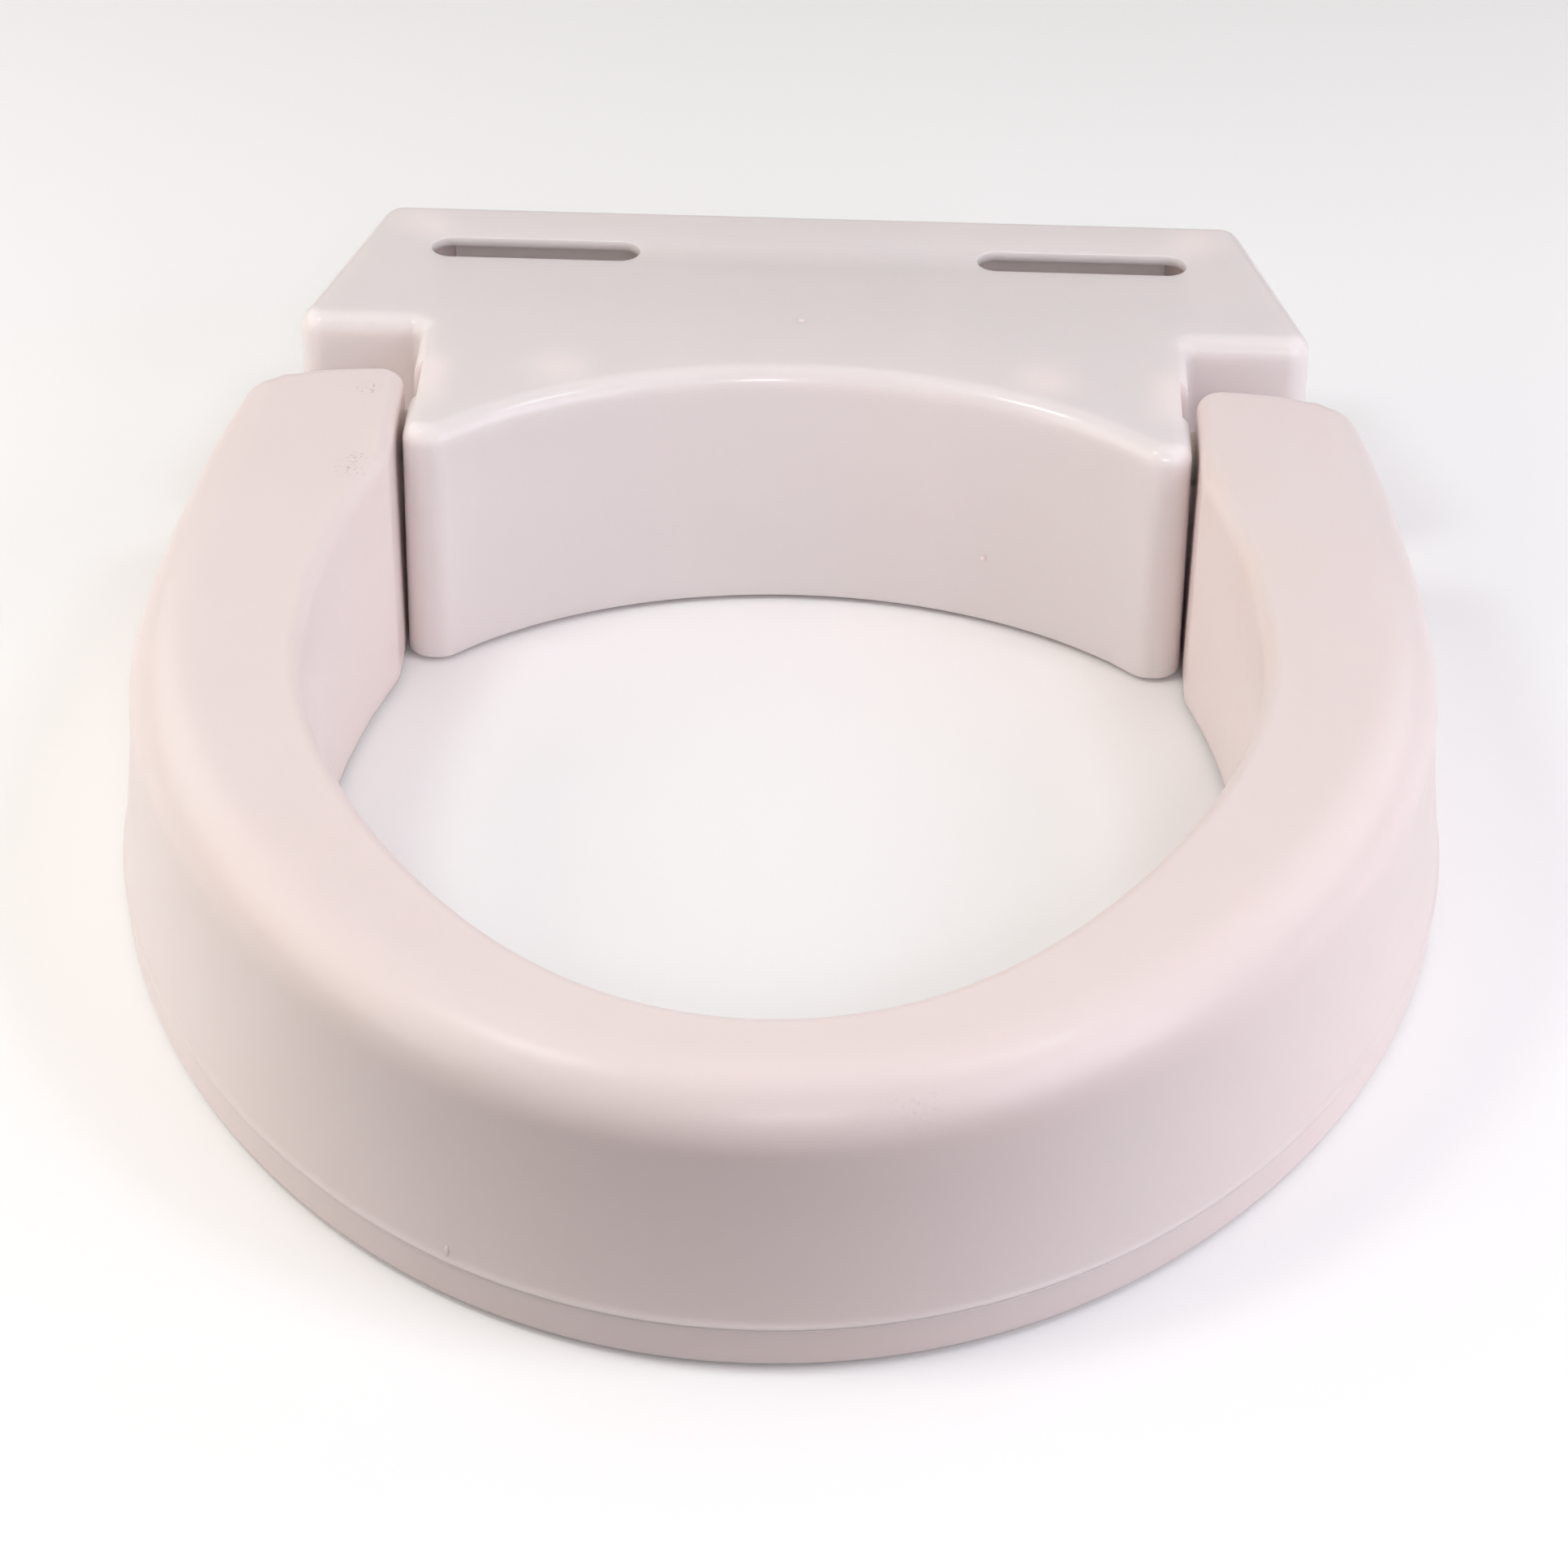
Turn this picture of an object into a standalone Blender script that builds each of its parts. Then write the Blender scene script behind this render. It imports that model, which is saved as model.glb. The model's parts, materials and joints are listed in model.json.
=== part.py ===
"""Raised toilet seat: a U-shaped seat ring that lifts on two side hinges of a rear base.

The base stays bolted to the back of the bowl and carries the seat's own hinges through its
two long slots. The ring is a hollow shell closed from below by a screwed-on tray.

Frame: metres, +Z up, +Y to the back, +X to the right. The origin lies under the middle of
the object's width and depth, in the plane that its rubber feet stand on.
All lengths below are in millimetres and are turned into metres when a mesh is made.
"""

import math

import bmesh
import bpy
from mathutils import Vector

MM = 0.001
GAP = 0.3

# Heights
FOOT_PROUD = 1.0
BOTTOM = FOOT_PROUD
TOP = 76.8
WALL = 3.0
PLATE = 3.2

# Seat ring outlines: half width, y of the widest place, reach forward, two numbers that slim
# the flanks between the widest place and the round nose, and reach back
RING_OUTER = (178.6, -3.1, 215.5, 0.109, 0.076, 291.0)
RING_INNER = (125.8, -15.9, 162.5, 0.244, 0.157, 190.0)
ARM_REAR_Y = 119.8
ARM_FACE_REAR_X = 115.2
ARM_FACE_FRONT_X = 113.2
ARM_OUTER_CORNER = 18.0
ARM_REAR_CORNER = 9.0
ARM_FRONT_CORNER = 12.0
# A curved side ends this many corner radii before its corner; its rear stretch is the flank
CORNER_RUN = 1.5
FLANK_START_Y = 70.0
ROUND_OUTER = 17.0
ROUND_FLANK = 14.0
ROUND_CORNER = 9.5
ROUND_REAR = 8.0
ROUND_FACE = 4.5
ROUND_INNER = 5.0
ROUND_BLEND = 10.0
DRAFT_BLEND = 6.0
DRAFT_OUTER = 5.0
DRAFT_INNER = 0.6
HOLLOW_ROUND_MIN = 0.8
SEAM_Z = 12.0
RIM_Z = BOTTOM + 0.6
STEP_X = 130.0

# Tray that closes the ring
BAND_INSET = 0.4
BAND_TAPER = 0.3
BAND_CHAMFER = 0.4
TRAY_LIP = 1.0
TRAY_FLOOR = 4.0

# Rear base
BACK_Y = 218.6
BACK_HALF = 130.2
EAR_HALF = 151.3
EAR_FRONT_Y = 142.7
NECK_HALF_REAR = 112.8
NECK_HALF_FRONT = 112.2
LUG_FRONT_Y = 79.4
ARC_HALF = 130.0
ARC_DEPTH = 107.0
ARC_MIDDLE_Y = 11.5
# The arc's last stretch, taken as straight where it meets the lug, and where its points stop
ARC_STRAIGHT = 10.0
ARC_STOP = 8.0
BASE_ROUND = 6.0
BASE_CORNER = 7.5
BACK_CORNER = 8.0
NECK_CORNER = 3.0
BASE_DRAFT = 0.6
BASE_CHAMFER = 0.4
RIB = 2.5
RIB_X = 38.0
RIB_Y = 172.6
RIB_CLEARANCE = 3.0

# Slots for the seat bolts
SLOT_CENTRE_X = 82.1
SLOT_Y = 189.5
SLOT_LENGTH = 62.8
SLOT_HALF = 6.05

# Hinges
AXIS_Y = 109.6
AXIS_Z = 57.5
NOTCH_Y = 111.8
NOTCH_FLOOR_X = 109.2
NOTCH_HALF = 10.25
NOTCH_BELOW = 10.5
BLOCK_INNER_X = 100.0
BLOCK_HALF = 14.3
PIN_R = 4.0
PIN_INNER_X = 96.0
PIN_HEAD_R = 4.9
PIN_HEAD = 4.0
GROOVE_X = 97.8
GROOVE_R = 3.2
CLIP_THICK = 0.9
CLIP_R = 7.0
CLIP_MOUTH_HALF = 2.6
PIN_EDGE = 0.6
PIN_HEAD_EDGE = 1.0
BUSH_R = 6.0
BUSH_BORE_R = 4.07
FLANGE_R = 7.7
FLANGE = 1.2
SPACER_END_X = 114.6
BOSS_R = 6.4
BOSS_START_X = 117.0
BOSS_END_X = 132.5

# Rubber feet and tray screws
FOOT_R = 7.0
FOOT_DEPTH = 2.0
PILLAR_R = 9.5
RING_FEET = ((151.0, 30.6), (76.0, -167.4))
BASE_FEET = ((70.0, 120.1), (117.5, 205.1))
SCREWS = ((0.0, -198.4), (114.0, -126.4), (151.0, -19.4), (150.0, 84.6))
FOOT_EDGE = 0.6
SCREW_HEAD_R = 3.6
SCREW_HEAD = 1.9
SCREW_SUNK = 0.2
SCREW_EDGE = 0.6
SCREW_TIP = 1.5
SCREW_R = 1.7
SCREW_HOLE_R = 2.2
SCREW_END_Z = 18.0
PILOT_SPARE = 2.0
POST_R = 4.5

# How far a cutting tool runs past the faces that it cuts, and the tightest mitre of an offset
PAST = 4.0
MITRE = 0.5

# Materials: colour, roughness and metallic value
RING_WHITE = ((0.81, 0.70, 0.69), 0.5, 0.0)
BASE_WHITE = ((0.78, 0.68, 0.67), 0.3, 0.0)
NYLON = ((0.72, 0.69, 0.64), 0.45, 0.0)
STEEL = ((0.62, 0.61, 0.59), 0.3, 1.0)
RUBBER = ((0.30, 0.29, 0.28), 0.8, 0.0)

SIDES = ((1, "right"), (-1, "left"))


# Outlines

def fillet(before, corner, after, radius, steps):
    """Points of the arc that rounds one corner, tangent to the lines on both sides of it."""
    c = Vector(corner)
    a = (Vector(before) - c).normalized()
    b = (Vector(after) - c).normalized()
    half = a.angle(b) / 2
    middle = c + (a + b).normalized() * (radius / math.sin(half))
    start = c + a * (radius / math.tan(half)) - middle
    end = c + b * (radius / math.tan(half)) - middle
    turn = start.angle(end)
    points = []
    for i in range(steps + 1):
        t = i / steps
        p = (start * math.sin((1 - t) * turn) + end * math.sin(t * turn)) / math.sin(turn)
        points.append(tuple(middle + p))
    return points


def half_width(curve, y):
    """Half width of a ring outline behind its widest place."""
    half, middle, _, _, _, back = curve
    return half * math.sqrt(1 - ((y - middle) / back) ** 2)


def widest_to_y(curve, half_wanted):
    """The y behind the widest place where a ring outline has the wanted half width."""
    half, middle, _, _, _, back = curve
    return middle + back * math.sqrt(1 - (half_wanted / half) ** 2)


def front_curve(curve, steps):
    """Right-hand points of a ring outline from the middle of its front to its widest place."""
    half, middle, reach, slim, nose, _ = curve
    points = []
    for i in range(steps + 1):
        t = math.pi / 2 * i / steps
        forward = math.cos(t)
        across = half * math.sin(t) * (1 - slim * forward ** 2 + nose * forward ** 4)
        points.append((across, middle - reach * forward))
    return points


def back_curve(curve, end_y, steps):
    """Right-hand points of a ring outline behind its widest place."""
    middle = curve[1]
    points = []
    for i in range(1, steps + 1):
        y = middle + (end_y - middle) * i / steps
        points.append((half_width(curve, y), y))
    return points


def mirrored(half_path):
    """Closes a right-hand path that starts and ends on the middle line with its mirror image."""
    return half_path + [(-x, y) for x, y in reversed(half_path[1:-1])]


def ring_path():
    """Right-hand path of the ring, outer front to inner front, with each point's zone."""
    corner = (half_width(RING_OUTER, ARM_REAR_Y), ARM_REAR_Y)
    start_y = ARM_REAR_Y - CORNER_RUN * ARM_OUTER_CORNER
    start = (half_width(RING_OUTER, start_y), start_y)
    path = [(p, "outer") for p in front_curve(RING_OUTER, 15)]
    path += [(p, "flank" if p[1] > FLANK_START_Y else "outer") for p in back_curve(RING_OUTER, start_y, 5)]
    path += [(p, "corner") for p in fillet(start, corner, (0, ARM_REAR_Y), ARM_OUTER_CORNER, 5)]
    path += [((STEP_X + 2 * GAP, ARM_REAR_Y), "rear")]
    path += [((STEP_X + GAP, ARM_REAR_Y), "gap")]
    path += [((STEP_X, ARM_REAR_Y), "gap")]
    path += [((STEP_X - GAP, ARM_REAR_Y), "rear in")]
    face_rear = (ARM_FACE_REAR_X, ARM_REAR_Y)
    face_front = (ARM_FACE_FRONT_X, widest_to_y(RING_INNER, ARM_FACE_FRONT_X))
    end_y = face_front[1] - CORNER_RUN * ARM_FRONT_CORNER
    end = (half_width(RING_INNER, end_y), end_y)
    path += [(p, "face") for p in fillet(corner, face_rear, face_front, ARM_REAR_CORNER, 4)]
    path += [(p, "inner") for p in fillet(face_rear, face_front, end, ARM_FRONT_CORNER, 3)]
    path += [(p, "inner") for p in reversed(back_curve(RING_INNER, end_y, 3))]
    path += [(p, "inner") for p in reversed(front_curve(RING_INNER, 13))]
    return path


def ring_outline():
    """The ring's closed outline and the zone of each of its points."""
    path = ring_path()
    points = mirrored([p for p, _ in path])
    zones = mirrored([(0, zone) for _, zone in path])
    return points, [zone for _, zone in zones]


def base_outline():
    """The rear base's closed outline: arc of the bowl opening, lugs, neck, ears and back."""
    drop = (LUG_FRONT_Y - ARC_MIDDLE_Y) / ARC_DEPTH
    arc_end = (ARC_HALF * math.sqrt(1 - drop ** 2), LUG_FRONT_Y)
    before = (arc_end[0] - ARC_STRAIGHT, arc_y(arc_end[0] - ARC_STRAIGHT))
    lug = (NECK_HALF_FRONT, LUG_FRONT_Y)
    neck = (NECK_HALF_REAR, EAR_FRONT_Y)
    ear = (EAR_HALF, EAR_FRONT_Y)
    back = (BACK_HALF, BACK_Y)
    path = [(x, arc_y(x)) for x in spread(0.0, arc_end[0] - ARC_STOP, 11)]
    path += fillet(before, arc_end, lug, BASE_CORNER, 3)
    path += fillet(arc_end, lug, neck, BASE_CORNER, 5)
    path += fillet(lug, neck, ear, NECK_CORNER, 3)
    path += fillet(neck, ear, back, BASE_CORNER, 5)
    path += fillet(ear, back, (0, BACK_Y), BACK_CORNER, 5)
    path += [(0, BACK_Y)]
    return mirrored(path)


def arc_y(x):
    """The y of the base's hollow front wall at a distance x from the middle."""
    return ARC_MIDDLE_Y + ARC_DEPTH * math.sqrt(1 - (x / ARC_HALF) ** 2)


def spread(start, end, count):
    """Evenly spaced values from start to end."""
    return [start + (end - start) * i / (count - 1) for i in range(count)]


def inward(points, distances):
    """The outline with each point moved into the material by its own distance."""
    count = len(points)
    area = sum(a[0] * b[1] - b[0] * a[1] for a, b in zip(points, points[1:] + points[:1]))
    side = 1 if area > 0 else -1
    moved = []
    for i, (x, y) in enumerate(points):
        a = (Vector((x, y)) - Vector(points[i - 1])).normalized()
        b = (Vector(points[(i + 1) % count]) - Vector((x, y))).normalized()
        tangent = (a + b).normalized()
        reach = distances[i] / max(MITRE, tangent.dot(a))
        moved.append((x - side * tangent.y * reach, y + side * tangent.x * reach))
    return moved


def eased(points, values, width):
    """Values along the closed outline, smoothed over a distance."""
    count = len(points)
    place = [0.0]
    for i in range(1, count + 1):
        step = Vector(points[i % count]) - Vector(points[i - 1])
        place.append(place[-1] + step.length)
    length = place[-1]
    share = [(place[i + 1] - place[i - 1] if i else place[1]) / 2 for i in range(count)]
    result = []
    for i in range(count):
        total = 0.0
        weight = 0.0
        for j in range(count):
            apart = abs(place[i] - place[j])
            apart = min(apart, length - apart)
            w = share[j] * math.exp(-((apart / width) ** 2))
            total += w * values[j]
            weight += w
        result.append(total / weight)
    return result


# Meshes

def lofted(name, rings, closed=False):
    """A solid whose skin runs through rings of points; its ends are capped unless it is closed."""
    bm = bmesh.new()
    rows = [[bm.verts.new(Vector(p) * MM) for p in ring] for ring in rings]
    count = len(rows[0])
    last = len(rows) if closed else len(rows) - 1
    for i in range(last):
        upper = rows[(i + 1) % len(rows)]
        for j in range(count):
            k = (j + 1) % count
            bm.faces.new((rows[i][j], rows[i][k], upper[k], upper[j]))
    if not closed:
        bm.faces.new(rows[0])
        bm.faces.new(rows[-1])
    bmesh.ops.recalc_face_normals(bm, faces=bm.faces)
    mesh = bpy.data.meshes.new(name)
    bm.to_mesh(mesh)
    bm.free()
    obj = bpy.data.objects.new(name, mesh)
    bpy.context.scene.collection.objects.link(obj)
    return obj


def level(points, heights):
    """An outline lifted to a height, or to one height for each point."""
    if isinstance(heights, float):
        heights = [heights] * len(points)
    return [(x, y, z) for (x, y), z in zip(points, heights)]


def turned(name, profile, centre, direction="z", steps=24, closed=False):
    """A round solid from (place along the axis, radius) pairs, about an axis through centre."""
    rings = []
    for along, radius in profile:
        ring = []
        for i in range(steps):
            a = 2 * math.pi * i / steps
            u = radius * math.cos(a)
            v = radius * math.sin(a)
            if direction == "z":
                ring.append((centre[0] + u, centre[1] + v, along))
            else:
                ring.append((along, centre[0] + u, centre[1] + v))
        rings.append(ring)
    return lofted(name, rings, closed)


def block(name, low, high):
    """A box between two corners."""
    base = [(low[0], low[1]), (high[0], low[1]), (high[0], high[1]), (low[0], high[1])]
    return lofted(name, [level(base, float(low[2])), level(base, float(high[2]))])


def combine(target, tool, operation):
    """Cuts a tool from a solid, or joins it on, and removes the tool."""
    modifier = target.modifiers.new(operation.lower(), "BOOLEAN")
    modifier.operation = operation
    modifier.solver = "EXACT"
    modifier.object = tool
    bpy.context.view_layer.update()
    result = target.evaluated_get(bpy.context.evaluated_depsgraph_get())
    mesh = bpy.data.meshes.new_from_object(result)
    target.modifiers.clear()
    target.data = mesh
    bpy.data.objects.remove(tool)


def cut(target, tool):
    combine(target, tool, "DIFFERENCE")


def join(target, tool):
    combine(target, tool, "UNION")


# Materials

def material(name, colour, roughness, metallic):
    """A plain material with the piece's colour, roughness and metallic value."""
    made = bpy.data.materials.new(name)
    made.use_nodes = True
    shader = made.node_tree.nodes["Principled BSDF"]
    shader.inputs["Base Color"].default_value = (*colour, 1.0)
    shader.inputs["Roughness"].default_value = roughness
    shader.inputs["Metallic"].default_value = metallic
    return made


def finish(obj, made, parent=None):
    """Gives a piece its material and smooth shading, and hangs it on its parent empty."""
    obj.data.materials.clear()
    obj.data.materials.append(made)
    obj.data.shade_smooth()
    obj.data.set_sharp_from_angle(angle=math.radians(35))
    if parent is not None:
        obj.parent = parent
        obj.matrix_parent_inverse = parent.matrix_world.inverted()


# Seat ring

def ring_round(points, zones):
    """Radius of the ring's top edge at each point of its outline."""
    radii = {"outer": ROUND_OUTER, "flank": ROUND_FLANK, "corner": ROUND_CORNER,
             "face": ROUND_FACE, "inner": ROUND_INNER}
    values = [radii.get(zone, ROUND_REAR) for zone in zones]
    return eased(points, values, ROUND_BLEND)


def ring_draft(points, zones):
    """How far the ring's wall leans in from its seam to its top, at each point."""
    values = [DRAFT_OUTER if zone in ("outer", "flank", "corner") else DRAFT_INNER for zone in zones]
    return eased(points, values, DRAFT_BLEND)


def ring_shell():
    """Upper shell of the ring: one skin out to the top, one skin inside, open below."""
    points, zones = ring_outline()
    radii = ring_round(points, zones)
    draft = ring_draft(points, zones)
    low_zones = ("rear in", "face", "inner")
    rim = [RIM_Z if zone in low_zones else SEAM_Z + GAP for zone in zones]
    outer = []
    inner = []
    steps = 4
    for i in range(steps + 1):
        a = math.pi / 2 * (1 - i / steps)
        shift = [d + r * (1 - math.cos(a)) for d, r in zip(draft, radii)]
        heights = [TOP - r * (1 - math.sin(a)) for r in radii]
        outer.append(level(inward(points, shift), heights))
        hollow = [max(HOLLOW_ROUND_MIN, r - WALL) for r in radii]
        shift = [d + WALL + h * (1 - math.cos(a)) for d, h in zip(draft, hollow)]
        heights = [TOP - PLATE - h * (1 - math.sin(a)) for h in hollow]
        inner.append(level(inward(points, shift), heights))
    outer.append(level(points, rim))
    inner.append(level(inward(points, [WALL] * len(points)), rim))
    shell = lofted("seat_ring_shell", outer + inner[::-1])
    for side, _ in SIDES:
        ends = sorted((side * BOSS_START_X, side * BOSS_END_X))
        join(shell, turned("boss", [(e, BOSS_R) for e in ends], (AXIS_Y, AXIS_Z), "x", 24))
        ends = sorted((side * (ARM_FACE_FRONT_X - PAST), side * (BOSS_END_X + PAST)))
        cut(shell, turned("bore", [(e, PIN_R + GAP) for e in ends], (AXIS_Y, AXIS_Z), "x"))
    for x, y in screw_places():
        foot = BOTTOM + TRAY_FLOOR + GAP
        join(shell, turned("post", [(foot, POST_R), (TOP - PLATE / 2, POST_R)], (x, y), "z", 16))
        pilot = [(foot - PAST, SCREW_R + GAP), (SCREW_END_Z + PILOT_SPARE, SCREW_R + GAP)]
        cut(shell, turned("pilot", pilot, (x, y), "z", 16))
    return shell


def ring_tray():
    """Tray that closes the ring from below, with the band under the seam round its outside."""
    points, zones = ring_outline()
    banded = [zone in ("outer", "flank", "corner", "rear") for zone in zones]
    floor_z = BOTTOM + TRAY_FLOOR
    tuck = WALL + GAP

    def pick(on_band, elsewhere):
        return [on_band if b else elsewhere for b in banded]

    rings = [
        level(inward(points, pick(BAND_INSET + BAND_TAPER + BAND_CHAMFER, tuck)), BOTTOM),
        level(inward(points, pick(BAND_INSET + BAND_TAPER, tuck)), BOTTOM + BAND_CHAMFER),
        level(inward(points, pick(BAND_INSET, tuck)), pick(SEAM_Z, floor_z)),
        level(inward(points, pick(BAND_INSET + WALL, tuck + WALL)), pick(SEAM_Z, floor_z)),
        level(inward(points, pick(BAND_INSET + WALL + GAP, tuck + WALL + TRAY_LIP)), floor_z),
    ]
    tray = lofted("seat_ring_tray", rings)
    for x, y in screw_places():
        cut(tray, turned("hole", [(BOTTOM - PAST, SCREW_HOLE_R), (floor_z + PAST, SCREW_HOLE_R)],
                         (x, y), "z", 16))
        head_top = BOTTOM + SCREW_SUNK + SCREW_HEAD + GAP
        cut(tray, turned("seat", [(BOTTOM - PAST, SCREW_HEAD_R + GAP), (head_top, SCREW_HEAD_R + GAP)],
                         (x, y), "z", 16))
    for x, y in both_sides(RING_FEET):
        cut(tray, foot_recess(x, y))
    return tray


def both_sides(places):
    """Places given for the right-hand side, with their mirror images."""
    found = []
    for x, y in places:
        found.append((x, y))
        if x > 0:
            found.append((-x, y))
    return found


def screw_places():
    return both_sides(SCREWS)


def tray_screw(number, x, y):
    """A pan-head screw that holds the tray to one post of the shell."""
    low = BOTTOM + SCREW_SUNK
    profile = [(low, SCREW_HEAD_R - SCREW_EDGE), (low + SCREW_EDGE, SCREW_HEAD_R),
               (low + SCREW_HEAD, SCREW_HEAD_R), (low + SCREW_HEAD, SCREW_R),
               (SCREW_END_Z - SCREW_TIP, SCREW_R), (SCREW_END_Z, SCREW_R / 3)]
    return turned(f"tray_screw_{number}", profile, (x, y), "z", 16)


# Rubber feet

def foot_recess(x, y):
    """The shallow round pocket that a foot sits in."""
    ends = [(BOTTOM - PAST, FOOT_R + GAP), (BOTTOM + FOOT_DEPTH + GAP, FOOT_R + GAP)]
    return turned("recess", ends, (x, y), "z", 20)


def foot(name, x, y):
    """A rubber disc that stands a little proud of the underside."""
    profile = [(0.0, FOOT_R - FOOT_EDGE), (FOOT_EDGE, FOOT_R), (BOTTOM + FOOT_DEPTH, FOOT_R)]
    return turned(name, profile, (x, y), "z", 20)


# Rear base

def base_cavity():
    """The hollow of the base, less its ribs, hinge blocks and foot pillars."""
    points = base_outline()
    round_in = BASE_ROUND - WALL
    ceiling = TOP - PLATE
    rings = [level(inward(points, [WALL] * len(points)), BOTTOM - PAST)]
    steps = 2
    for i in range(steps + 1):
        a = math.pi / 2 * i / steps
        shift = WALL + BASE_DRAFT + round_in * (1 - math.cos(a))
        rings.append(level(inward(points, [shift] * len(points)), ceiling - round_in * (1 - math.sin(a))))
    cavity = lofted("cavity", rings)
    rib_low = BOTTOM + RIB_CLEARANCE
    for side, _ in SIDES:
        rib_x = side * RIB_X
        cut(cavity, block("rib", (rib_x - RIB / 2, 0, rib_low), (rib_x + RIB / 2, BACK_Y + PAST, TOP)))
        xs = sorted((side * BLOCK_INNER_X, side * (NECK_HALF_REAR + PAST)))
        cut(cavity, block("hinge_block", (xs[0], NOTCH_Y - BLOCK_HALF, BOTTOM - 2 * PAST),
                          (xs[1], NOTCH_Y + BLOCK_HALF, TOP)))
    cut(cavity, block("cross_rib", (-EAR_HALF, RIB_Y - RIB / 2, rib_low), (EAR_HALF, RIB_Y + RIB / 2, TOP)))
    for x, y in both_sides(BASE_FEET):
        cut(cavity, turned("pillar", [(BOTTOM - 2 * PAST, PILLAR_R), (TOP, PILLAR_R)], (x, y), "z", 20))
    return cavity


def slot_cutter(side):
    """A long slot with round ends through the top plate."""
    straight = SLOT_LENGTH / 2 - SLOT_HALF
    points = []
    for end, start in ((1, -math.pi / 2), (-1, math.pi / 2)):
        for i in range(9):
            a = start + math.pi * i / 8
            points.append((side * SLOT_CENTRE_X + end * straight + SLOT_HALF * math.cos(a),
                           SLOT_Y + SLOT_HALF * math.sin(a)))
    return lofted("slot", [level(points, TOP - PLATE - PAST), level(points, TOP + PAST)])


def base_shell():
    """Rear base: a hollow block with ears, a neck and a hollow front wall, open below."""
    points = base_outline()
    count = len(points)
    rings = [level(inward(points, [BASE_CHAMFER] * count), BOTTOM), level(points, BOTTOM + BASE_CHAMFER)]
    steps = 3
    for i in range(steps + 1):
        a = math.pi / 2 * i / steps
        shift = BASE_DRAFT + BASE_ROUND * (1 - math.cos(a))
        rings.append(level(inward(points, [shift] * count), TOP - BASE_ROUND * (1 - math.sin(a))))
    shell = lofted("base_shell", rings)
    cut(shell, base_cavity())
    for side, _ in SIDES:
        cut(shell, slot_cutter(side))
        xs = sorted((side * NOTCH_FLOOR_X, side * (NECK_HALF_REAR + PAST)))
        cut(shell, block("notch", (xs[0], NOTCH_Y - NOTCH_HALF, AXIS_Z - NOTCH_BELOW),
                         (xs[1], NOTCH_Y + NOTCH_HALF, TOP + PAST)))
        ends = sorted((side * (BLOCK_INNER_X - PAST), side * (NOTCH_FLOOR_X + PAST)))
        cut(shell, turned("bore", [(e, BUSH_R + GAP) for e in ends], (AXIS_Y, AXIS_Z), "x"))
    for x, y in both_sides(BASE_FEET):
        cut(shell, foot_recess(x, y))
    return shell


# Hinges

def along(side, profile):
    """A profile for one side's hinge: places along the axis measured outwards from the middle."""
    return [(side * place, radius) for place, radius in profile]


def hinge_pin(side, name):
    """Steel pin: a clip groove at its inner end and a round head inside the arm."""
    head_start = BOSS_END_X + GAP
    groove_end = GROOVE_X + CLIP_THICK + 2 * GAP
    profile = [(PIN_INNER_X, PIN_R - PIN_EDGE), (PIN_INNER_X + PIN_EDGE, PIN_R), (GROOVE_X, PIN_R),
               (GROOVE_X, GROOVE_R), (groove_end, GROOVE_R), (groove_end, PIN_R),
               (head_start, PIN_R), (head_start, PIN_HEAD_R),
               (head_start + PIN_HEAD - PIN_HEAD_EDGE, PIN_HEAD_R),
               (head_start + PIN_HEAD, PIN_HEAD_R - PIN_HEAD_EDGE)]
    return turned(f"hinge_pin_{name}", along(side, profile), (AXIS_Y, AXIS_Z), "x")


def hinge_bush(side, name):
    """Flanged nylon bush in the wall of the neck, with the flange in the notch."""
    start = BLOCK_INNER_X + GAP
    flange_start = NOTCH_FLOOR_X + GAP
    profile = [(start, BUSH_BORE_R), (start, BUSH_R), (flange_start, BUSH_R), (flange_start, FLANGE_R),
               (flange_start + FLANGE, FLANGE_R), (flange_start + FLANGE, BUSH_BORE_R)]
    return turned(f"hinge_bush_{name}", along(side, profile), (AXIS_Y, AXIS_Z), "x", closed=True)


def hinge_spacer(side, name):
    """Nylon washer that keeps the arm clear of the neck."""
    start = NOTCH_FLOOR_X + FLANGE + 2 * GAP
    profile = [(start, PIN_R + GAP), (start, FLANGE_R), (SPACER_END_X, FLANGE_R),
               (SPACER_END_X, PIN_R + GAP)]
    return turned(f"hinge_spacer_{name}", along(side, profile), (AXIS_Y, AXIS_Z), "x", closed=True)


def pin_clip(side, name):
    """Open spring clip in the pin's groove."""
    start = GROOVE_X + GAP
    profile = [(start, GROOVE_R + GAP), (start, CLIP_R), (start + CLIP_THICK, CLIP_R),
               (start + CLIP_THICK, GROOVE_R + GAP)]
    clip = turned(f"pin_clip_{name}", along(side, profile), (AXIS_Y, AXIS_Z), "x", closed=True)
    xs = sorted((side * (start - PAST), side * (start + PAST)))
    cut(clip, block("mouth", (xs[0], AXIS_Y - CLIP_MOUTH_HALF, AXIS_Z - 2 * CLIP_R),
                    (xs[1], AXIS_Y + CLIP_MOUTH_HALF, AXIS_Z)))
    return clip


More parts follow.
